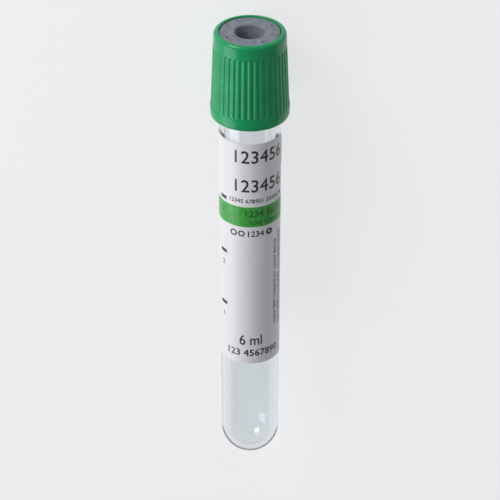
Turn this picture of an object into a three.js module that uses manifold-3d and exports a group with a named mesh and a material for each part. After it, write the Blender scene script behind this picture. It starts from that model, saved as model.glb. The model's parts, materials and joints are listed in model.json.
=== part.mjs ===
// Blood collection tube, 13 x 100 mm, with a rubber stopper in a ribbed push-on cap.
//
// Units are millimetres. Each piece is made upright on one shared axis: +Z runs from
// the tube's round end at z = 0 to its mouth, and the middle of the label's front
// faces -Y. An angle round the axis is counted from -Y towards +X. The finished tube
// is then laid down, label up and cap towards +Y, because it can't stand on its round
// end: it rests on the widest edge of the cap and on the start of the round end.

import * as THREE from 'three';
import { mergeVertices } from 'three/addons/utils/BufferGeometryUtils.js';
import Module from 'manifold-3d';

const wasm = await Module();
wasm.setup();

// ---------------------------------------------------------------- driving sizes

const facets = 36;                // flat faces round every turned piece; the laid tube rests on one
const mergeWithin = 1e-4;         // corners closer than this are one corner

// Tube: clear, moulded, with a little draft towards the round end.
const tubeLength = 100;
const tubeMouthRadius = 6.5;      // outside, at the mouth
const tubeFootRadius = 6.3;       // outside, where the round end starts
const tubeWall = 1.0;
const tubeBase = 1.2;             // thickness at the middle of the round end
const tubeRimRounding = 0.25;

// Stopper: one rubber moulding, a flange that caps the mouth and a plug inside it.
const flangeOverhang = 0.25;      // past the outside of the tube's mouth
const flangeThickness = 4.0;
const faceRise = 0.75;            // the face stands this far up inside the cap's lip
const faceRounding = 0.2;
const plugDepth = 9.0;            // below the tube's rim
const plugLead = 1.2;             // height of the tapered tip that finds the mouth
const plugLeadIn = 0.45;          // how much narrower that tip ends
const wellMouthRadius = 3.15;     // where the needle goes in
const wellFloorRadius = 3.05;
const wellDepth = 5.75;
const wellRounding = 0.4;
const hollowMouthRadius = 3.5;    // recess under the plug
const hollowCrownRadius = 2.6;
const hollowRounding = 1.2;
const septumThickness = 3.0;      // rubber between the well and the hollow

// Cap: a ribbed shield round the stopper, which reaches down over the tube.
const capHeight = 19.3;
const capWall = 0.8;              // from the stopper's flange to the outside of the shoulder
const capFlare = 0.75;            // how much wider the foot is than the shoulder
const capShoulder = 0.85;         // rounding over the top
const capFootRounding = 0.5;
const lipReach = 0.35;            // how far the lip covers the stopper's flange
const lipThickness = 0.75;
const footBandHeight = 2.5;
const footBandStep = 0.1;         // how far the band stands out from the ribs
const skirtWall = 0.95;           // at the foot
const snapReach = 0.3;            // how far the bead under the flange reaches in
const snapHeight = 1.3;

// Ribs: what is left between round-bottomed flutes.
const ribCount = 40;
const fluteRadius = 0.42;
const fluteDepth = 0.25;
const fluteTopDrop = 2.9;         // from the top of the cap to the flutes' round ends
const fluteSides = 8;

// Label: one sheet with a half-round tab on its right-hand edge.
const labelBottom = 26.8;         // height above the round end
const labelLength = 55.2;
const labelWidth = 20.6;          // flat, without the tab
const labelThickness = 0.12;
const labelTurn = -11;            // degrees that its middle is turned to the right
const tabRadius = 3.15;
const tabDrop = 4.7;              // from the label's top edge to the tab's middle

// Ink: the printed fields of colour, each a very thin solid on the label.
const inkThickness = 0.06;
const inkMargin = 0.1;            // bare paper between a field and the sheet's edge
const bandDrop = 15.25;           // from the label's top edge to the band's
const bandHeight = 4.9;

// Clearances between neighbours.
const seatGap = 0.3;              // stopper's flange over the tube's rim
const plugGap = 0.2;              // plug in the bore
const pocketGap = 0.2;            // stopper's flange in the cap
const faceGap = 0.12;             // stopper's raised face in the lip
const lipGap = 0.2;               // under the cap's lip, and over its bead
const labelGap = 0.06;            // label on the tube, and ink on the label

// Radii that follow from the tube's mouth: the flange covers it, and the cap covers both.
const flangeRadius = tubeMouthRadius + flangeOverhang;
const capTopRadius = flangeRadius + capWall;
const capFootRadius = capTopRadius + capFlare;
const capMouthRadius = flangeRadius - lipReach;

// ---------------------------------------------------------------- helpers

const radians = THREE.MathUtils.degToRad;

// Points on an arc in an outline, each [radius from the axis, height].
function arc(centreRadius, centreHeight, radius, fromDegrees, toDegrees, steps) {
  return Array.from({ length: steps + 1 }, (_, step) => {
    const angle = radians(fromDegrees + ((toDegrees - fromDegrees) * step) / steps);
    return [centreRadius + radius * Math.cos(angle), centreHeight + radius * Math.sin(angle)];
  });
}

// A closed three.js geometry as a manifold solid: shared corners merged, slivers dropped.
function solid(geometry) {
  const bare = new THREE.BufferGeometry();
  bare.setAttribute('position', geometry.getAttribute('position').clone());
  if (geometry.index) bare.setIndex(geometry.index.clone());
  const merged = mergeVertices(bare, mergeWithin);
  const corners = merged.index.array;
  const triangles = [];
  for (let i = 0; i < corners.length; i += 3) {
    const [a, b, c] = [corners[i], corners[i + 1], corners[i + 2]];
    if (a !== b && b !== c && c !== a) triangles.push(a, b, c);
  }
  return new wasm.Manifold(new wasm.Mesh({
    numProp: 3,
    vertProperties: new Float32Array(merged.getAttribute('position').array),
    triVerts: new Uint32Array(triangles),
  }));
}

// A solid turned about +Z. The outline runs anticlockwise, from axis to axis or round
// to its own first point. A flat face, not a corner, looks along each of -Y and +Y.
function turned(outline, sides = facets) {
  const points = outline.map(([radius, height]) => new THREE.Vector2(Math.max(radius, 0), height));
  const lathe = new THREE.LatheGeometry(points, sides, Math.PI / sides);
  return solid(lathe.rotateX(Math.PI / 2));
}

// A named mesh of one solid, with a material of its own.
function piece(name, manifold, look) {
  const { vertProperties, triVerts, numProp } = manifold.getMesh();
  const positions = [];
  for (let i = 0; i < vertProperties.length; i += numProp) {
    positions.push(vertProperties[i], vertProperties[i + 1], vertProperties[i + 2]);
  }
  const geometry = new THREE.BufferGeometry();
  geometry.setAttribute('position', new THREE.Float32BufferAttribute(positions, 3));
  geometry.setIndex(Array.from(triVerts));
  geometry.computeVertexNormals();
  const mesh = new THREE.Mesh(geometry, new THREE.MeshStandardMaterial(look));
  mesh.name = name;
  return mesh;
}

// ---------------------------------------------------------------- tube

// Outside radius at a height on the straight part.
function tubeRadiusAt(height) {
  const share = (height - tubeFootRadius) / (tubeLength - tubeFootRadius);
  return tubeFootRadius + (tubeMouthRadius - tubeFootRadius) * share;
}

function makeTube() {
  const boreFootRadius = tubeFootRadius - tubeWall;
  const boreMouthRadius = tubeMouthRadius - tubeWall;
  const roundingHeight = tubeLength - tubeRimRounding;
  return turned([
    ...arc(0, tubeFootRadius, tubeFootRadius, -90, 0, 7),
    ...arc(tubeMouthRadius - tubeRimRounding, roundingHeight, tubeRimRounding, 0, 90, 2),
    ...arc(boreMouthRadius + tubeRimRounding, roundingHeight, tubeRimRounding, 90, 180, 2),
    ...arc(0, tubeBase + boreFootRadius, boreFootRadius, 0, -90, 6),
  ]);
}

// ---------------------------------------------------------------- stopper

const flangeBottom = tubeLength + seatGap;
const flangeTop = flangeBottom + flangeThickness;
const faceTop = flangeTop + faceRise;

function makeStopper() {
  const wellFloor = faceTop - wellDepth;
  const hollowCrown = wellFloor - septumThickness;
  const plugTip = tubeLength - plugDepth;
  const plugRadius = tubeRadiusAt(plugTip) - tubeWall - plugGap;
  const faceRadius = capMouthRadius - faceGap;
  return turned([
    [0, hollowCrown],
    ...arc(hollowCrownRadius - hollowRounding, hollowCrown - hollowRounding, hollowRounding, 90, 0, 3),
    [hollowMouthRadius, plugTip],
    [plugRadius - plugLeadIn, plugTip],
    [plugRadius, plugTip + plugLead],
    [plugRadius, flangeBottom],
    [flangeRadius, flangeBottom],
    [flangeRadius, flangeTop],
    [faceRadius, flangeTop],
    ...arc(faceRadius - faceRounding, faceTop - faceRounding, faceRounding, 0, 90, 2),
    ...arc(wellMouthRadius + wellRounding, faceTop - wellRounding, wellRounding, 90, 180, 3),
    [wellFloorRadius, wellFloor],
    [0, wellFloor],
  ]);
}

// ---------------------------------------------------------------- cap

const lipBottom = flangeTop + lipGap;
const capTop = lipBottom + lipThickness;
const capFoot = capTop - capHeight;
const bandTop = capFoot + footBandHeight;
const shoulderHeight = capTop - capShoulder;

// Radius of the ribbed wall at a height between the foot band and the shoulder.
function capWallRadiusAt(height) {
  const bottomRadius = capFootRadius - footBandStep;
  const share = (height - bandTop) / (shoulderHeight - bandTop);
  return bottomRadius + (capTopRadius - bottomRadius) * share;
}

// One flute's cutter: a bullet with its flat end on the foot band's ledge, its round
// end up, leaning with the wall.
function makeFluteCutter() {
  const top = capTop - fluteTopDrop;
  const length = top - fluteRadius - bandTop;
  const lean = Math.atan2(capWallRadiusAt(bandTop) - capWallRadiusAt(top), top - bandTop);
  const bullet = turned([
    [0, 0],
    [fluteRadius, 0],
    ...arc(0, length, fluteRadius, 0, 90, 3),
  ], fluteSides);
  return bullet
    .rotate([THREE.MathUtils.radToDeg(-lean), 0, 0])
    .translate([0, -(capWallRadiusAt(bandTop) + fluteRadius - fluteDepth), bandTop]);
}

function makeCap() {
  const pocketRadius = flangeRadius + pocketGap;
  const snapTop = flangeBottom - lipGap;
  const skirtRadius = capFootRadius - skirtWall;
  const shell = turned([
    [skirtRadius, capFoot],
    ...arc(capFootRadius - capFootRounding, capFoot + capFootRounding, capFootRounding, -90, 0, 2),
    [capFootRadius, bandTop],
    [capWallRadiusAt(bandTop), bandTop],
    ...arc(capTopRadius - capShoulder, shoulderHeight, capShoulder, 0, 90, 4),
    [capMouthRadius, capTop],
    [capMouthRadius, lipBottom],
    [pocketRadius, lipBottom],
    [pocketRadius, snapTop],
    [pocketRadius - snapReach, snapTop],
    [pocketRadius - snapReach, snapTop - snapHeight / 3],
    [pocketRadius, snapTop - snapHeight],
    [skirtRadius, capFoot],
  ]);
  const cutter = makeFluteCutter();
  const pitch = 360 / ribCount;
  const cutters = Array.from({ length: ribCount }, (_, rib) => cutter.rotate([0, 0, (rib + 0.5) * pitch]));
  return shell.subtract(wasm.Manifold.union(cutters));
}

// ---------------------------------------------------------------- label and ink

const labelTop = labelBottom + labelLength;
const labelRadius = tubeRadiusAt(labelBottom + labelLength / 2) + labelGap;
const labelSpan = THREE.MathUtils.radToDeg(labelWidth / labelRadius);
const labelRightEdge = labelTurn + labelSpan / 2;
const farOut = capFootRadius * 2;

// A thin sleeve on the tube: how far it lies off the glass, its thickness and its ends.
function sleeve(offset, thickness, bottom, top) {
  const innerBottom = tubeRadiusAt(bottom) + offset;
  const innerTop = tubeRadiusAt(top) + offset;
  return turned([
    [innerBottom, bottom],
    [innerBottom + thickness, bottom],
    [innerTop + thickness, top],
    [innerTop, top],
    [innerBottom, bottom],
  ]);
}

// A wedge of space round the axis, as wide as the label less a margin at each side.
function labelWedge(margin) {
  const marginAngle = THREE.MathUtils.radToDeg(margin / labelRadius);
  const from = labelTurn - labelSpan / 2 + marginAngle;
  const to = labelRightEdge - marginAngle;
  const rim = arc(0, 0, farOut, from - 90, to - 90, 12).map(([x, y]) => new THREE.Vector2(x, y));
  const outline = new THREE.Shape([new THREE.Vector2(0, 0), ...rim]);
  return solid(new THREE.ExtrudeGeometry(outline, { depth: tubeLength, bevelEnabled: false }));
}

// A round bar that points outwards through the label's right-hand edge: its outer half
// gives the tab.
function tabPlug(radius) {
  const bar = new THREE.CylinderGeometry(radius, radius, farOut, 32);
  return solid(bar.translate(0, farOut / 2, 0))
    .rotate([0, 0, 180 + labelRightEdge])
    .translate([0, 0, labelTop - tabDrop]);
}

function makeLabel() {
  const sheet = sleeve(labelGap, labelThickness, labelBottom, labelTop);
  return sheet.intersect(labelWedge(0).add(tabPlug(tabRadius)));
}

const inkOffset = labelGap + labelThickness + labelGap;

function makeBandInk() {
  const top = labelTop - bandDrop;
  return sleeve(inkOffset, inkThickness, top - bandHeight, top).intersect(labelWedge(inkMargin));
}

function makeTabInk() {
  const middle = labelTop - tabDrop;
  const field = sleeve(inkOffset, inkThickness, middle - tabRadius, middle + tabRadius);
  return field.intersect(tabPlug(tabRadius - inkMargin)).subtract(labelWedge(0));
}

// ---------------------------------------------------------------- assembly

const tube = piece('tube', makeTube(), {
  color: 0xdfe8ec, roughness: 0.06, metalness: 0, transparent: true, opacity: 0.3,
});
const stopper = piece('stopper', makeStopper(), { color: 0x8f919b, roughness: 0.75, metalness: 0 });
const cap = piece('cap', makeCap(), { color: 0x0f8a48, roughness: 0.35, metalness: 0 });
const label = piece('label', makeLabel(), { color: 0xf2f3f4, roughness: 0.55, metalness: 0 });
const bandInk = piece('label_band', makeBandInk(), { color: 0x2f9a36, roughness: 0.5, metalness: 0 });
const tabInk = piece('label_tab', makeTabInk(), { color: 0x2f9a36, roughness: 0.5, metalness: 0 });

const closure = new THREE.Group();
closure.add(stopper, cap);

const labelledTube = new THREE.Group();
labelledTube.add(tube, label, bandInk, tabInk);

// Laid down: the axis rises towards the cap by as much as the two resting edges ask.
const flatToAxis = Math.cos(Math.PI / facets);
const restRise = (capFootRadius - tubeFootRadius) * flatToAxis;
const restRun = capFoot + capFootRounding - tubeFootRadius;
const laid = new THREE.Group();
laid.add(labelledTube, closure);
laid.rotation.x = Math.atan2(restRise, restRun) - Math.PI / 2;

// The origin is under the middle of the laid tube, on the surface that it rests on.
const bounds = new THREE.Box3().setFromObject(laid, true);
const middle = bounds.getCenter(new THREE.Vector3());
laid.position.set(-middle.x, -middle.y, -bounds.min.z);

const collectionTube = new THREE.Group();
collectionTube.add(laid);

export default collectionTube;
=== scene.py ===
# %% [markdown]
# # Blood collection tube
#
# The real object is four things put together: a clear moulded tube, a printed label round
# it, a grey rubber stopper in its mouth, and a ribbed green cap that carries the stopper.
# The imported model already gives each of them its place, its size and the way that the
# closure pulls off. Here each one is made again with smooth curves, real edges and its own
# finish, and then takes the place of the plain solid.

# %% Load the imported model
import json
import math

import bmesh
import bpy
from mathutils import Matrix, Vector


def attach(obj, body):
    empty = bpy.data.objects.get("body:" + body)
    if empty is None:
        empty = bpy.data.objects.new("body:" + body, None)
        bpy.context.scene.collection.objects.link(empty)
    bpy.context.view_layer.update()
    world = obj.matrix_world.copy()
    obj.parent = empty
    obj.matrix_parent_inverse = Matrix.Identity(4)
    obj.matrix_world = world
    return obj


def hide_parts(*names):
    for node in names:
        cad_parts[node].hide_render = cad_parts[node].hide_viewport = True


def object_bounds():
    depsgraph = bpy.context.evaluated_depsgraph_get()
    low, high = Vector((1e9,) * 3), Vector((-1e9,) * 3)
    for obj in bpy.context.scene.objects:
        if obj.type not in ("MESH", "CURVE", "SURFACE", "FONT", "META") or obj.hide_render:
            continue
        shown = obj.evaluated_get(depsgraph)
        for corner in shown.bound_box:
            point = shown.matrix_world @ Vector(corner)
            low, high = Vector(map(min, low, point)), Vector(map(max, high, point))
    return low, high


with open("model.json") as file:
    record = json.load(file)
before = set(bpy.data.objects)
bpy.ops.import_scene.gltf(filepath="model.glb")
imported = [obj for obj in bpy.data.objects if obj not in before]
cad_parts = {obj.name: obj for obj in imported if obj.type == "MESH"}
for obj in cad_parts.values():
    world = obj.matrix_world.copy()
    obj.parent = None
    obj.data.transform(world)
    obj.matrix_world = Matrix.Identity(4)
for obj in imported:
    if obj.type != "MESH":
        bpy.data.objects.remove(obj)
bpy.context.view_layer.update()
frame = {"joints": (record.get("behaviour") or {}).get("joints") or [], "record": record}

# %% [markdown]
# ## One upright frame to model in
#
# The tube lies down, tipped a little because the cap is wider than the round end. Modelling
# on a tipped axis is awkward. So every piece is made upright, in millimetres, with the round
# end at height 0 and the middle of the front towards -Y, and one matrix then lays it down.
# The matrix comes from the frame: the joint gives the axis, and the mount on the stopper's
# face gives a point whose height on the tube is known.

# %% The matrix that lays a piece down
mm = 0.001
face_top = 105.05                 # the stopper's face, where the frame has its mount
mount_radius = 4.9                # the mount's point is this far from the axis, on the front

axis = Vector(frame["joints"][0]["axis"]).normalized()
side = Vector((1, 0, 0))
front = side.cross(axis)
mount = Vector(frame["record"]["mounts"][0]["pos_m"])
round_end = mount - axis * face_top * mm - front * mount_radius * mm
turned_down = Matrix((side, -front, axis)).transposed().to_4x4()
laid = Matrix.Translation(round_end) @ turned_down @ Matrix.Scale(mm, 4)
print("axis", [round(x, 4) for x in axis], "round end at", [round(x, 4) for x in round_end])

# %% [markdown]
# ## Two helpers for round pieces
#
# Nearly everything here was made by turning or in a round mould, so a half section spun
# about the axis gives the true form. An outline holds only the points that the shape needs;
# its rounded stretches are arcs. The spin closes on itself, doubled points are merged, and
# the normals are then turned outwards.

# %% Outline and spin
touching = 1e-5                   # points this close are one point


def arc(centre, height, radius, start, end, steps):
    """A round stretch of an outline: (distance from the axis, height) from one angle to another."""
    angles = [math.radians(start + (end - start) * step / steps) for step in range(steps + 1)]
    return [(centre + radius * math.cos(a), height + radius * math.sin(a)) for a in angles]


def spun(outline, steps, closed=False):
    """A bmesh turned about Z. An open outline begins and ends on the axis."""
    bm = bmesh.new()
    corners = [bm.verts.new((distance, 0, height)) for distance, height in outline]
    ends = corners[1:] + corners[:1] if closed else corners[1:]
    lines = [bm.edges.new(pair) for pair in zip(corners, ends)]
    bmesh.ops.spin(
        bm, geom=corners + lines, axis=(0, 0, 1), cent=(0, 0, 0),
        steps=steps, angle=math.tau, use_merge=True,
    )
    bmesh.ops.remove_doubles(bm, verts=bm.verts, dist=touching)
    bmesh.ops.recalc_face_normals(bm, faces=bm.faces)
    return bm


# %% [markdown]
# A finished piece needs the same last steps each time: lay it down, give it a smooth look
# with crisp edges, link it, let it ride on its body and say which solids it stands for.

# %% Finish a piece
def finished(name, bm, body, material, stands_for=(), crease=35):
    """Turns an upright bmesh in millimetres into a piece of the laid tube."""
    bm.transform(laid)
    mesh = bpy.data.meshes.new(name)
    bm.to_mesh(mesh)
    bm.free()
    mesh.shade_smooth()
    mesh.set_sharp_from_angle(angle=math.radians(crease))
    mesh.materials.append(material)
    piece = bpy.data.objects.new(name, mesh)
    bpy.context.scene.collection.objects.link(piece)
    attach(piece, body)
    if stands_for:
        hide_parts(*stands_for)
    low, high = (Vector(piece.bound_box[corner]) for corner in (0, 6))
    size = [round(x / mm, 2) for x in high - low]
    print(f"{name}: {len(mesh.polygons)} faces, {size} mm")


# %% [markdown]
# ## Finishes
#
# Every finish starts from the Principled shader. Numbers that are the same all over the
# surface are set on its sockets; only what varies over the surface, such as mottling, comes
# from noise. Noise reads Object coordinates, which are metres here, so a scale of 1000 gives
# grains about a millimetre across.

# %% Helpers for materials
def new_finish(name, **values):
    """A material with the Principled shader, whose sockets take the values given by name."""
    material = bpy.data.materials.new(name)
    material.use_nodes = True
    shader = material.node_tree.nodes["Principled BSDF"]
    for socket, value in values.items():
        shader.inputs[socket.replace("_", " ")].default_value = value
    return material, shader


def noise(material, scale, detail=2.0, stretch=(1, 1, 1)):
    """A noise pattern fixed to the piece. A stretch under 1 draws it out along that axis."""
    nodes, links = material.node_tree.nodes, material.node_tree.links
    place = nodes.new("ShaderNodeTexCoord")
    mapping = nodes.new("ShaderNodeMapping")
    mapping.inputs["Scale"].default_value = stretch
    pattern = nodes.new("ShaderNodeTexNoise")
    pattern.inputs["Scale"].default_value = scale
    pattern.inputs["Detail"].default_value = detail
    links.new(place.outputs["Object"], mapping.inputs["Vector"])
    links.new(mapping.outputs["Vector"], pattern.inputs["Vector"])
    return pattern.outputs["Fac"]


def spread(material, factor, low, high, start=0.35, end=0.65):
    """Spreads a noise factor between two numbers."""
    node = material.node_tree.nodes.new("ShaderNodeMapRange")
    for socket, value in zip(("From Min", "From Max", "To Min", "To Max"), (start, end, low, high)):
        node.inputs[socket].default_value = value
    material.node_tree.links.new(factor, node.inputs["Value"])
    return node.outputs["Result"]


def between(material, factor, first, second):
    """A colour between two, by a factor from 0 to 1."""
    node = material.node_tree.nodes.new("ShaderNodeMix")
    node.data_type = "RGBA"
    node.inputs["A"].default_value = (*first, 1)
    node.inputs["B"].default_value = (*second, 1)
    material.node_tree.links.new(factor, node.inputs["Factor"])
    return node.outputs["Result"]


def bumped(material, shader, factor, height):
    """Raises the surface by a pattern, by so many millimetres at most."""
    node = material.node_tree.nodes.new("ShaderNodeBump")
    node.inputs["Strength"].default_value = 1.0
    node.inputs["Distance"].default_value = height * mm
    material.node_tree.links.new(factor, node.inputs["Height"])
    material.node_tree.links.new(node.outputs["Normal"], shader.inputs["Normal"])


# %% [markdown]
# ### Clear plastic
#
# The tube is clear polyester. The Principled shader with full transmission bends light as
# the real wall does, because the piece is a closed shell with a real wall. Left at that, its
# shadow would be as dark as a solid's: Cycles can't send lamp light through bent glass
# without a lot of noise. A Transparent shader for shadow rays alone lets that light pass. A
# faint wave in the surface, drawn out along the tube, keeps its reflections a little uneven.

# %% Clear plastic
def make_clear_plastic():
    material, shader = new_finish(
        "clear_plastic", Base_Color=(0.885, 0.915, 0.93, 1), Roughness=0.02,
        Transmission_Weight=1.0, IOR=1.55,
    )
    bumped(material, shader, noise(material, 160, 1.0, (1, 0.35, 1)), 0.012)
    nodes, links = material.node_tree.nodes, material.node_tree.links
    pass_light = nodes.new("ShaderNodeBsdfTransparent")
    pass_light.inputs["Color"].default_value = (0.93, 0.95, 0.96, 1)
    which_ray = nodes.new("ShaderNodeLightPath")
    choose = nodes.new("ShaderNodeMixShader")
    links.new(which_ray.outputs["Is Shadow Ray"], choose.inputs["Fac"])
    links.new(shader.outputs["BSDF"], choose.inputs[1])
    links.new(pass_light.outputs["BSDF"], choose.inputs[2])
    links.new(choose.outputs["Shader"], nodes["Material Output"].inputs["Surface"])
    return material


clear_plastic = make_clear_plastic()

# %% [markdown]
# ### Cap plastic
#
# The cap is coloured polypropylene with a soft gloss. Moulded polypropylene is never quite
# even: the colour swirls faintly and the gloss comes and goes where the melt cooled. Two
# noises give that, and a third, very fine, breaks up the highlights on the ribs.

# %% Cap plastic
def make_cap_plastic():
    deeper, lighter = (0.002, 0.305, 0.102), (0.003, 0.360, 0.126)
    material, shader = new_finish("green_plastic", Specular_IOR_Level=0.38, Subsurface_Weight=0.05)
    shader.inputs["Subsurface Radius"].default_value = (0.3, 1.0, 0.5)
    shader.inputs["Subsurface Scale"].default_value = 0.6 * mm
    swirl = spread(material, noise(material, 220, 3.0), 0, 1)
    colour = between(material, swirl, deeper, lighter)
    gloss = spread(material, noise(material, 900, 2.0), 0.20, 0.27)
    links = material.node_tree.links
    links.new(colour, shader.inputs["Base Color"])
    links.new(gloss, shader.inputs["Roughness"])
    bumped(material, shader, noise(material, 1400, 1.0), 0.002)
    return material


cap_plastic = make_cap_plastic()

# %% [markdown]
# ### Stopper rubber
#
# The stopper is grey butyl rubber, matte, and mottled in cloudy patches a millimetre or so
# across. A coarse cloud mixed with a fine one gives both the patches and the grain.

# %% Stopper rubber
def make_rubber():
    darker, lighter = (0.165, 0.18, 0.215), (0.25, 0.275, 0.315)
    material, shader = new_finish("grey_rubber", Specular_IOR_Level=0.35)
    cloud = spread(material, noise(material, 950, 4.0), 0, 1, 0.3, 0.7)
    colour = between(material, cloud, darker, lighter)
    links = material.node_tree.links
    links.new(colour, shader.inputs["Base Color"])
    links.new(spread(material, noise(material, 1800, 2.0), 0.5, 0.68), shader.inputs["Roughness"])
    bumped(material, shader, noise(material, 3500, 3.0), 0.02)
    return material


rubber = make_rubber()

# %% [markdown]
# ### Paper and inks
#
# The label is coated paper: white, with a soft sheen and a hint of fibre. The inks lie on it
# as thin films, a little glossier than the paper.

# %% Paper and inks
def make_paper():
    duller, whiter = (0.82, 0.823, 0.832), (0.86, 0.862, 0.87)
    material, shader = new_finish("label_paper", Specular_IOR_Level=0.5)
    fibre = spread(material, noise(material, 2400, 3.0, (1, 0.3, 1)), 0, 1, 0.3, 0.7)
    colour = between(material, fibre, duller, whiter)
    links = material.node_tree.links
    links.new(colour, shader.inputs["Base Color"])
    links.new(spread(material, noise(material, 1500), 0.30, 0.40), shader.inputs["Roughness"])
    bumped(material, shader, noise(material, 2600, 2.0), 0.0012)
    return material


def make_ink(name, light, dark):
    """A thin film whose colour varies a little from patch to patch."""
    material, shader = new_finish(name, Roughness=0.3, Specular_IOR_Level=0.5)
    patches = spread(material, noise(material, 1600, 3.0), 0, 1)
    colour = between(material, patches, dark, light)
    material.node_tree.links.new(colour, shader.inputs["Base Color"])
    return material


paper = make_paper()
green_ink = make_ink("green_ink", (0.055, 0.43, 0.06), (0.038, 0.34, 0.042))
dark_green_ink = make_ink("dark_green_ink", (0.014, 0.14, 0.022), (0.010, 0.10, 0.016))
black_ink = make_ink("black_ink", (0.042, 0.042, 0.046), (0.022, 0.022, 0.025))
print("finishes:", ", ".join(material.name for material in bpy.data.materials))

# %% [markdown]
# ## The tube
#
# One clear moulding: a straight wall with a little draft and a round end. Its section is an
# open line from the axis, up the outside, over the rim and down the inside to the axis, so
# the spin gives a closed shell with a true wall. That is what makes the edges look thick and
# the round end shine like the real one. A ring of points just inside each end of a straight
# stretch keeps the smooth shading straight there: without it the long faces shade as if they
# leaned, and clear plastic then bends light the wrong way and turns dark at its edges.

# %% Sizes of the tube
tube_length = 100.0
mouth_radius = 6.5
foot_radius = 6.3                 # where the round end starts
tube_wall = 1.0
tube_base = 1.2
rim_rounding = 0.3
round_steps = 240


def tube_radius_at(height):
    """Outside radius of the straight part at a height."""
    share = (height - foot_radius) / (tube_length - foot_radius)
    return foot_radius + (mouth_radius - foot_radius) * share


def straight(start, end, inset=0.4):
    """Two points on a straight stretch of an outline, a little inside its ends."""
    first, last = Vector(start), Vector(end)
    step = (last - first).normalized() * inset
    return [tuple(first + step), tuple(last - step)]


# %% Spin the tube
def make_tube():
    rim = tube_length - rim_rounding
    bore_foot = (foot_radius - tube_wall, tube_base + foot_radius - tube_wall)
    bore_mouth = (mouth_radius - tube_wall, rim)
    outline = [
        *arc(0, foot_radius, foot_radius, -90, 0, 36),
        *straight((foot_radius, foot_radius), (mouth_radius, rim)),
        *arc(mouth_radius - rim_rounding, rim, rim_rounding, 0, 90, 5),
        *arc(bore_mouth[0] + rim_rounding, rim, rim_rounding, 90, 180, 5),
        *straight(bore_mouth, bore_foot),
        *arc(0, bore_foot[1], bore_foot[0], 0, -90, 32),
    ]
    bm = spun(outline, round_steps)
    finished("tube_wall", bm, "tube", clear_plastic, ["tube"])


make_tube()

# %% [markdown]
# ## The stopper
#
# A rubber moulding: a flange that covers the tube's mouth, a face that stands up inside the
# cap's lip, a plug in the tube, a round well where the needle goes in, and a hollow below.
# Rubber has no sharp edges, so the corners that can be seen are arcs. Those of the flange are
# hidden in the cap and stay plain. The four small pits in the face are left by the mould's
# pins. They are cut with four small balls, because the face has too few points to push them in.

# %% Section of the stopper
flange_radius = 6.75
flange_bottom = 100.3
flange_top = 104.3
face_radius = 6.28
well_floor = 99.3
well_mouth = 3.05                 # radius inside its rounded edge
well_edge = 0.5
plug_tip = 91.0
plug_clearance = 0.2
plug_radius = tube_radius_at(plug_tip) - tube_wall - plug_clearance
hollow_crown = 96.3
crown_edge = 1.2
hollow_radius = 2.6               # at the crown
hollow_mouth = 3.5                # at the plug's tip
tip_edge = 0.25
lead_in = 1.2                     # height of the taper that finds the tube's mouth
lead_in_edge = 0.3
lead_in_depth = 0.75
face_edge = 0.22
well_foot = 2.2                   # radius of the flat part of the well's floor
well_foot_edge = 0.4
stopper_steps = 128


def stopper_outline():
    """Half section, from the hollow's crown down, out, up and in to the well's floor."""
    return [
        (0, hollow_crown),
        *arc(hollow_radius - crown_edge, hollow_crown - crown_edge, crown_edge, 90, 0, 8),
        *arc(hollow_mouth + tip_edge, plug_tip + tip_edge, tip_edge, 180, 270, 4),
        *arc(plug_radius - lead_in_depth, plug_tip + lead_in_edge, lead_in_edge, -90, -25, 4),
        (plug_radius, plug_tip + lead_in),
        (plug_radius, flange_bottom),
        (flange_radius, flange_bottom),
        (flange_radius, flange_top),
        (face_radius, flange_top),
        *arc(face_radius - face_edge, face_top - face_edge, face_edge, 0, 90, 6),
        *straight((face_radius - face_edge, face_top), (well_mouth + well_edge, face_top), 0.1),
        *arc(well_mouth + well_edge, face_top - well_edge, well_edge, 90, 172, 9),
        *arc(well_foot, well_floor + well_foot_edge, well_foot_edge, 0, -90, 5),
        (0, well_floor),
    ]


# %% Cut the four pits
pit_ring = 5.3                    # how far the pits are from the axis
pit_size = 0.36                   # radius of the balls
pit_turn = 29                     # degrees from the front to the first pit


def pit_cutters():
    """Four small balls, half sunk in the stopper's face."""
    bm = bmesh.new()
    for quarter in range(4):
        angle = math.radians(pit_turn + 90 * quarter)
        place = Matrix.Translation(
            (pit_ring * math.sin(angle), -pit_ring * math.cos(angle), face_top)
        )
        bmesh.ops.create_uvsphere(bm, u_segments=20, v_segments=12, radius=pit_size, matrix=place)
    return bm


def cut(bm, cutter):
    """Takes one closed bmesh out of another with a Boolean modifier."""
    pair = []
    for name, shape in (("cut_body", bm), ("cut_tool", cutter)):
        mesh = bpy.data.meshes.new(name)
        shape.to_mesh(mesh)
        shape.free()
        pair.append(bpy.data.objects.new(name, mesh))
        bpy.context.scene.collection.objects.link(pair[-1])
    body, tool = pair
    modifier = body.modifiers.new("pits", "BOOLEAN")
    modifier.operation = "DIFFERENCE"
    modifier.solver = "EXACT"
    modifier.object = tool
    graph = bpy.context.evaluated_depsgraph_get()
    result = bmesh.new()
    result.from_mesh(body.evaluated_get(graph).to_mesh())
    for spare in pair:
        bpy.data.meshes.remove(spare.data)
    return result


def make_stopper():
    bm = cut(spun(stopper_outline(), stopper_steps), pit_cutters())
    finished("stopper_rubber", bm, "closure", rubber, ["stopper"])


make_stopper()

# %% [markdown]
# ## The cap
#
# A thin green shell with a pocket for the stopper's flange, a bead that keeps it in, and a
# skirt that reaches down over the tube. Forty ribs give the fingers hold. The ribs are what
# is left between flutes, which are round at the bottom and at both ends. So the wall is spun
# with sixteen steps to a rib, with close rows where the flutes end and few between, and each
# point in a flute is moved in, as far as a round tool would have reached there. Cutting the
# flutes with forty tools would take a slow Boolean and leave ragged edges. A light smoothing
# then takes the sharp edge off each rib, as on a moulding.

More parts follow.
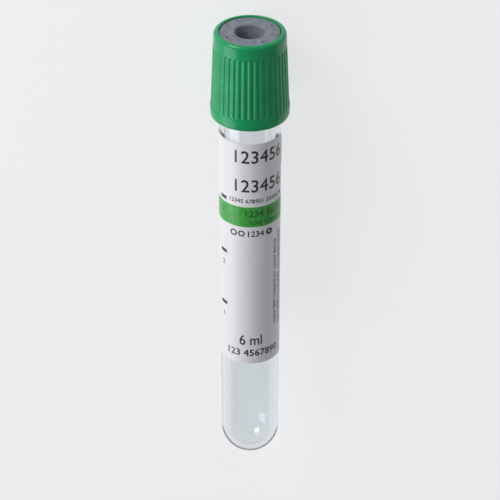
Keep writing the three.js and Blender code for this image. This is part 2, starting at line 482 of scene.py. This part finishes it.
# %% Sizes of the cap
cap_top = 105.25
cap_foot = 85.95
lip_bottom = 104.5
lip_radius = 6.4
top_radius = 7.55
band_radius = 8.3                 # the smooth band at the foot
band_top = 88.45
rib_foot_radius = 8.2
shoulder = 0.85
pocket_radius = 6.95
skirt_radius = 7.35
skirt_chamfer = 0.15
foot_edge = 0.55
band_edge = 0.06
lip_edge = 0.2
lip_lower_edge = 0.12
snap_top = 100.1                  # the bead that holds the flange: its top, depth and height
snap_depth = 0.3
snap_height = 0.43
snap_slope = 1.3                  # height in which the bead runs out into the wall

rib_count = 40
steps_per_rib = 16
flute_radius = 0.5
flute_depth = 0.2
flute_top = 102.35
wall_step = 0.11                  # rows this close where the flutes end
foot_rows = 12                    # of those rows, above the band
middle_rows = (92, 96, 100)       # heights of the few rows between
height_slack = 1e-4               # heights this close are the same
radius_slack = 0.01               # a point this near the wall's radius is on the wall
crisp_foot = 0.05                 # points this close to the band stay as they are


def rib_wall_radius_at(height):
    """Outside radius of the ribs, which lean in towards the top."""
    share = (height - band_top) / (cap_top - shoulder - band_top)
    return rib_foot_radius + (top_radius - rib_foot_radius) * share


# %% Section of the cap
def cap_outline():
    """Half section, a closed line: up the outside, over the lip and down the inside."""
    rows = int((cap_top - shoulder - (flute_top - 2 * flute_radius)) / wall_step)
    wall = [band_top + wall_step * row for row in range(foot_rows)]
    wall += middle_rows
    wall += [flute_top - 2 * flute_radius + wall_step * row for row in range(rows)]
    return [
        (skirt_radius, cap_foot + skirt_chamfer),
        (skirt_radius + skirt_chamfer, cap_foot),
        *arc(band_radius - foot_edge, cap_foot + foot_edge, foot_edge, -90, 0, 7),
        *arc(band_radius - band_edge, band_top - band_edge, band_edge, 0, 90, 2),
        *[(rib_wall_radius_at(height), height) for height in wall],
        *arc(top_radius - shoulder, cap_top - shoulder, shoulder, 0, 90, 10),
        *arc(lip_radius + lip_edge, cap_top - lip_edge, lip_edge, 90, 180, 4),
        *arc(lip_radius + lip_lower_edge, lip_bottom + lip_lower_edge, lip_lower_edge, 180, 270, 2),
        (pocket_radius, lip_bottom),
        (pocket_radius, snap_top),
        (pocket_radius - snap_depth, snap_top),
        (pocket_radius - snap_depth, snap_top - snap_height),
        (pocket_radius, snap_top - snap_slope),
    ]


# %% Press in the flutes
def flute_reach(across, up):
    """How far a round-ended flute goes in at a point, from its distance across and past its end."""
    centre_out = flute_radius - flute_depth
    squared = flute_radius**2 - across**2 - max(up, 0) ** 2
    return max(math.sqrt(squared) - centre_out, 0) if squared > 0 else 0


def press_flutes(bm):
    """Moves the wall's points in where a flute runs, then softens the edges of the ribs."""
    pitch = math.tau / rib_count
    pressed = []
    for point in bm.verts:
        radius = math.hypot(point.co.x, point.co.y)
        ribbed = band_top - height_slack < point.co.z < cap_top - shoulder
        if not ribbed or abs(radius - rib_wall_radius_at(point.co.z)) > radius_slack:
            continue
        angle = math.atan2(point.co.x, -point.co.y) % pitch
        across = (angle - pitch / 2) * radius
        past_top = point.co.z - (flute_top - flute_radius)
        past_foot = band_top + wall_step + flute_radius - point.co.z
        depth = flute_reach(across, max(past_top, past_foot))
        point.co.xy *= (radius - depth) / radius
        pressed.append(point)
    inner = [point for point in pressed if point.co.z > band_top + crisp_foot]
    bmesh.ops.smooth_vert(bm, verts=inner, factor=0.5, use_axis_x=True, use_axis_y=True)


def make_cap():
    bm = spun(cap_outline(), rib_count * steps_per_rib, closed=True)
    press_flutes(bm)
    bmesh.ops.recalc_face_normals(bm, faces=bm.faces)
    finished("cap_shell", bm, "closure", cap_plastic, ["cap"], crease=40)


make_cap()

# %% [markdown]
# ## The label
#
# The label is paper, cut flat and rolled round the tube, so it is made the same way: a flat
# outline, sliced into narrow upright strips so that it can bend, then rolled on to the
# tube's slight cone and given its thickness. The half-round tab on the right-hand edge is
# part of the same sheet. Print goes through the same roll, a hair further out.

# %% Sizes of the label
label_bottom = 26.8
label_length = 55.2
label_width = 21.0
label_turn = -11                  # degrees from the front to the label's middle
paper_thickness = 0.12
label_gap = 0.03
tab_radius = 3.15
tab_middle = label_length - 4.7   # above the label's bottom edge
tab_margin = 0.1                  # paper left round the tab's green field
corner_radius = 0.8
strip = 0.3                       # width of the strips that let the sheet bend
sliver = 2e-3                     # points left this close by the slicing are merged

rolled_radius = tube_radius_at(label_bottom + label_length / 2) + label_gap + paper_thickness


# %% Roll a flat shape on to the tube
def sliced(bm, spacing):
    """Cuts a flat shape into upright strips."""
    low = min(point.co.x for point in bm.verts)
    high = max(point.co.x for point in bm.verts)
    for cut_number in range(1, math.ceil((high - low) / spacing)):
        place = (low + cut_number * spacing, 0, 0)
        bmesh.ops.bisect_plane(
            bm, geom=[*bm.verts, *bm.edges, *bm.faces],
            plane_co=place, plane_no=(1, 0, 0), dist=touching,
        )


def rolled(bm, lift, thickness, spacing=strip):
    """Rolls a flat shape on to the tube. X runs round it from the label's middle, and Y up it."""
    sliced(bm, spacing)
    bmesh.ops.remove_doubles(bm, verts=bm.verts, dist=sliver)
    for point in bm.verts:
        across, up, _ = point.co
        angle = math.radians(label_turn) + across / rolled_radius
        radius = tube_radius_at(label_bottom + up) + lift
        point.co = (radius * math.sin(angle), -radius * math.cos(angle), label_bottom + up)
    bm.normal_update()
    outward = sum(face.normal.dot(Vector((*face.calc_center_median().xy, 0))) for face in bm.faces)
    if outward < 0:
        bmesh.ops.reverse_faces(bm, faces=bm.faces)
    bmesh.ops.solidify(bm, geom=list(bm.faces), thickness=-thickness)
    bmesh.ops.recalc_face_normals(bm, faces=bm.faces)
    return bm


def flat_face(bm, points):
    """One flat face through (x, y) points."""
    return bm.faces.new([bm.verts.new((x, y, 0)) for x, y in points])


# %% Cut and roll the label
def label_cut():
    """The sheet's outline: four rounded corners and the tab, anticlockwise."""
    right, left = label_width / 2, -label_width / 2
    r = corner_radius
    return [
        *arc(right - r, r, r, -90, 0, 5),
        *arc(right, tab_middle, tab_radius, -90, 90, 24),
        *arc(right - r, label_length - r, r, 0, 90, 5),
        *arc(left + r, label_length - r, r, 90, 180, 5),
        *arc(left + r, r, r, 180, 270, 5),
    ]


def make_label():
    bm = bmesh.new()
    flat_face(bm, label_cut())
    rolled(bm, label_gap, paper_thickness)
    finished("label_sheet", bm, "tube", paper, ["label"])


make_label()

# %% [markdown]
# ## Fields of colour
#
# A green band runs across the label and the tab is green too. Each is a film of ink: a flat
# shape rolled like the sheet, 0.01 mm thick, lying on the paper.

# %% Green ink
ink_thickness = 0.01
film_gap = 0.004                  # between a film and what it lies on
ink_lift = label_gap + paper_thickness + film_gap
band_drop = 15.25                 # from the label's top edge to the band's
band_height = 4.9


def make_band():
    bm = bmesh.new()
    top = label_length - band_drop
    foot = top - band_height
    right = label_width / 2
    flat_face(bm, [(-right, foot), (right, foot), (right, top), (-right, top)])
    rolled(bm, ink_lift, ink_thickness)
    finished("band_ink", bm, "tube", green_ink, ["label_band"])


def make_tab_field():
    bm = bmesh.new()
    flat_face(bm, arc(label_width / 2, tab_middle, tab_radius - tab_margin, -90, 90, 24))
    rolled(bm, ink_lift, ink_thickness)
    finished("tab_ink", bm, "tube", green_ink, ["label_tab"])


make_band()
make_tab_field()

# %% [markdown]
# ## Plain numbers and marks
#
# A real label is full of small print. Here it is a volume mark, three graduations and rows
# that are plain counts, which look like print and name nothing. The signs are rings.
#
# Each row starts as text, which Blender fills as a flat curve. It is made into a mesh while it
# still lies flat, and is then rolled on to the tube like the rest. Round strokes get more
# points in large digits than in small ones, where nobody could see them.
#
# Print on a label is bolder than the font, so each outline is moved outwards a little. The
# font's 4 has a tiny spur in its corners that would turn inside out, so points that nearly
# coincide are merged first.

# %% Bolder strokes
corner_limit = 0.4                # keeps the point of a sharp corner from running far out


def thicken(flat, weight):
    """Moves the outline of a flat shape outwards, so that its strokes get bolder."""
    outward = {}
    for edge in flat.edges:
        if not edge.is_boundary:
            continue
        start, end = (point.co for point in edge.verts)
        out = (end - start).cross(Vector((0, 0, 1))).normalized()
        if out.dot(edge.link_faces[0].calc_center_median() - start) > 0:
            out = -out
        for point in edge.verts:
            outward.setdefault(point, []).append(out)
    for point, ways in outward.items():
        mean = sum(ways, Vector()) / len(ways)
        point.co += mean * weight / max(mean.length_squared, corner_limit)


# %% Flat text
digit_share = 0.69                # the font's digits are this much of its size
spur_share = 0.004                # points this close, for digits 1 tall, are merged


def add_text(bm, words, across, up, height, wide=1.0, weight=0.015, turned=0, steps=2):
    """Flat text with its middle at a point on the label, its digits that tall."""
    curve = bpy.data.curves.new("words", "FONT")
    curve.body = words
    curve.size = height / digit_share
    curve.align_x = "CENTER"
    curve.resolution_u = steps
    holder = bpy.data.objects.new("words", curve)
    bpy.context.scene.collection.objects.link(holder)
    graph = bpy.context.evaluated_depsgraph_get()
    mesh = bpy.data.meshes.new_from_object(holder.evaluated_get(graph))
    flat = bmesh.new()
    flat.from_mesh(mesh)
    bmesh.ops.remove_doubles(flat, verts=flat.verts, dist=spur_share * height)
    thicken(flat, weight)
    centred = Matrix.Diagonal((wide, 1, 1, 1)) @ Matrix.Translation((0, -height / 2, 0))
    turn = Matrix.Rotation(math.radians(turned), 4, "Z")
    flat.transform(Matrix.Translation((across, up, 0)) @ turn @ centred)
    flat.to_mesh(mesh)
    flat.free()
    bm.from_mesh(mesh)
    bpy.data.objects.remove(holder)
    bpy.data.curves.remove(curve)
    bpy.data.meshes.remove(mesh)


# %% Bars, rings and counts
def add_bar(bm, left, right, bottom, top):
    """A rectangle."""
    flat_face(bm, [(left, bottom), (right, bottom), (right, top), (left, top)])


def add_ring(bm, across, up, radius, hole, sides=24):
    """A ring, or a nut shape if it has six sides."""
    outer, inner = (
        [bm.verts.new((x, y, 0)) for x, y in arc(across, up, size, 0, 360, sides)[:-1]]
        for size in (radius, hole)
    )
    for corner in range(sides):
        after = (corner + 1) % sides
        bm.faces.new((outer[corner], outer[after], inner[after], inner[corner]))


def count(length, *gaps):
    """The digits 1 to 9 and 0, again and again, with a space after some of them."""
    return "".join(str((place + 1) % 10) + " " * (place + 1 in gaps) for place in range(length))


# %% Large numbers and the scale
black_print = bmesh.new()
digit_rows = (52.15, 45.15)       # heights on the label
digit_height = 2.9
digit_spacing = 2.05
first_digit = -1.8
tick_heights = (41.05, 27.65, 14.45)
tick_left = -6.3
tick_right = -4.3
tick_half = 0.4                   # half of a tick's thickness
tick_number_drop = 2.8            # from a tick to the middle of its number

for row in digit_rows:
    for place, digit in enumerate("123456"):
        across = first_digit + digit_spacing * place
        add_text(black_print, digit, across, row, digit_height, wide=0.92, weight=0.045, steps=6)
add_text(black_print, "6 ml", 1.45, 6.15, 2.5, wide=0.82, weight=0.03, steps=6)
for number, height in zip("321", tick_heights):
    add_bar(black_print, tick_left, tick_right, height - tick_half, height + tick_half)
    tick_middle = (tick_left + tick_right) / 2
    add_text(black_print, number, tick_middle, height - tick_number_drop, 1.1, steps=4)

# %% Small print
sign_row = 33.35                  # the row of signs below the green band
sign_radius = 0.8

add_text(black_print, count(18, 5, 11), 3.0, 41.45, 0.95)
add_text(black_print, count(4), 2.4, sign_row, 1.35, weight=0.03)
add_text(black_print, count(10, 3), 1.9, 2.85, 1.65, weight=0.04)
add_text(black_print, count(33, 6, 10, 18, 21, 27), 7.4, 19.6, 0.85, turned=90)
add_text(black_print, count(36, 4, 9, 13, 20, 24), 8.9, 20.2, 0.85, turned=90)
add_ring(black_print, -2.4, sign_row, sign_radius, 0.48)
add_ring(black_print, -0.6, sign_row, sign_radius, 0.48, sides=6)
add_ring(black_print, 5.6, sign_row, sign_radius, 0.3)

# %% Print on the green band
band_print = bmesh.new()
add_text(band_print, count(7, 4), 4.0, 38.35, 1.5, weight=0.04)
add_text(band_print, count(11, 5), 4.6, 36.1, 0.9)

# %% Roll the print on to the label
print_lift = ink_lift + ink_thickness + film_gap
print_thickness = 0.008
print_strip = 0.4                 # its strips can be wider than the sheet's

for name, shapes, ink, slot in (
    ("label_print", black_print, black_ink, "label_sheet"),
    ("band_print", band_print, dark_green_ink, "green_ink"),
):
    rolled(shapes, print_lift, print_thickness, print_strip)
    finished(name, shapes, "tube", ink)

# %% [markdown]
# ## Floor, light and camera
#
# The tube lies on a plain pale floor. A soft lamp low on the left gives the bright left flank
# and the dark right one. A smaller one beyond the cap's end lights the stopper's face and
# reaches down into its well, and a dim sky keeps the shadows open. The camera looks down on
# the tube from the cap's side, at the same angle to its axis as when the tube stands and is
# seen from above, and is turned so that the cap is at the top of the picture.
#
# The floor's paleness is its own: a share of each look at it, straight, mirrored or through
# the clear wall, sees a plain glow, and the rest sees the lit floor with its soft shadow.

# %% Floor
glow_share = 0.7                  # how much of each look at the floor sees the glow


def make_floor():
    material, shader = new_finish("floor_paper", Base_Color=(0.86, 0.865, 0.87, 1), Roughness=0.6)
    nodes, links = material.node_tree.nodes, material.node_tree.links
    glow = nodes.new("ShaderNodeEmission")
    glow.inputs["Color"].default_value = (0.985, 0.99, 1.0, 1)
    rays = nodes.new("ShaderNodeLightPath")
    seen = nodes.new("ShaderNodeMath")
    seen.operation = "MULTIPLY"
    seen.inputs[1].default_value = glow_share
    any_view = nodes.new("ShaderNodeMath")
    any_view.operation = "MAXIMUM"
    through = nodes.new("ShaderNodeMath")
    through.operation = "MAXIMUM"
    links.new(rays.outputs["Is Glossy Ray"], through.inputs[0])
    links.new(rays.outputs["Is Transmission Ray"], through.inputs[1])
    links.new(rays.outputs["Is Camera Ray"], any_view.inputs[0])
    links.new(through.outputs["Value"], any_view.inputs[1])
    links.new(any_view.outputs["Value"], seen.inputs[0])
    mix = nodes.new("ShaderNodeMixShader")
    links.new(seen.outputs["Value"], mix.inputs["Fac"])
    links.new(shader.outputs["BSDF"], mix.inputs[1])
    links.new(glow.outputs["Emission"], mix.inputs[2])
    links.new(mix.outputs["Shader"], nodes["Material Output"].inputs["Surface"])

    low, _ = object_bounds()
    bm = bmesh.new()
    bmesh.ops.create_grid(
        bm, x_segments=1, y_segments=1, size=2.0, matrix=Matrix.Translation((0, 0, low.z))
    )
    mesh = bpy.data.meshes.new("floor")
    bm.to_mesh(mesh)
    bm.free()
    mesh.materials.append(material)
    floor = bpy.data.objects.new("floor", mesh)
    bpy.context.scene.collection.objects.link(floor)


make_floor()

# %% Light
tube_middle = 52                  # height on the tube that the lamps and the camera face
middle = round_end + axis * tube_middle * mm


def add_lamp(name, place, size, power):
    """A square soft lamp that faces the tube."""
    lamp = bpy.data.lights.new(name, "AREA")
    lamp.size = size
    lamp.energy = power
    holder = bpy.data.objects.new(name, lamp)
    holder.location = middle + Vector(place)
    holder.rotation_euler = Vector(place).to_track_quat("Z", "Y").to_euler()
    bpy.context.scene.collection.objects.link(holder)


add_lamp("side_lamp", (-0.52, -0.16, 0.23), 0.42, 1.3)
add_lamp("end_lamp", (-0.38, 0.52, 0.19), 0.28, 2.35)

world = bpy.data.worlds.new("studio")
world.use_nodes = True
sky = world.node_tree.nodes["Background"]
sky.inputs["Color"].default_value = (0.93, 0.95, 1.0, 1)
sky.inputs["Strength"].default_value = 0.32
bpy.context.scene.world = world

# %% Camera
camera_distance = 567.0           # from the cap's top
camera_rise = math.radians(28)    # over the plane square to the axis at the cap's top
camera_out = camera_distance * math.cos(camera_rise)
camera_up = camera_distance * math.sin(camera_rise)
camera_place = laid @ Vector((0, -camera_out, cap_top + camera_up))
look = (camera_place - middle).normalized()
picture_right = axis.cross(look).normalized()
picture_up = look.cross(picture_right)

camera_data = bpy.data.cameras.new("camera")
camera_data.lens = 199
camera_data.sensor_width = 36
camera_data.clip_start = 0.01
camera = bpy.data.objects.new("camera", camera_data)
camera.matrix_world = Matrix.Translation(camera_place) @ Matrix(
    (picture_right, picture_up, look)
).transposed().to_4x4()
bpy.context.scene.collection.objects.link(camera)
bpy.context.scene.camera = camera
bpy.context.scene.view_settings.view_transform = "Standard"
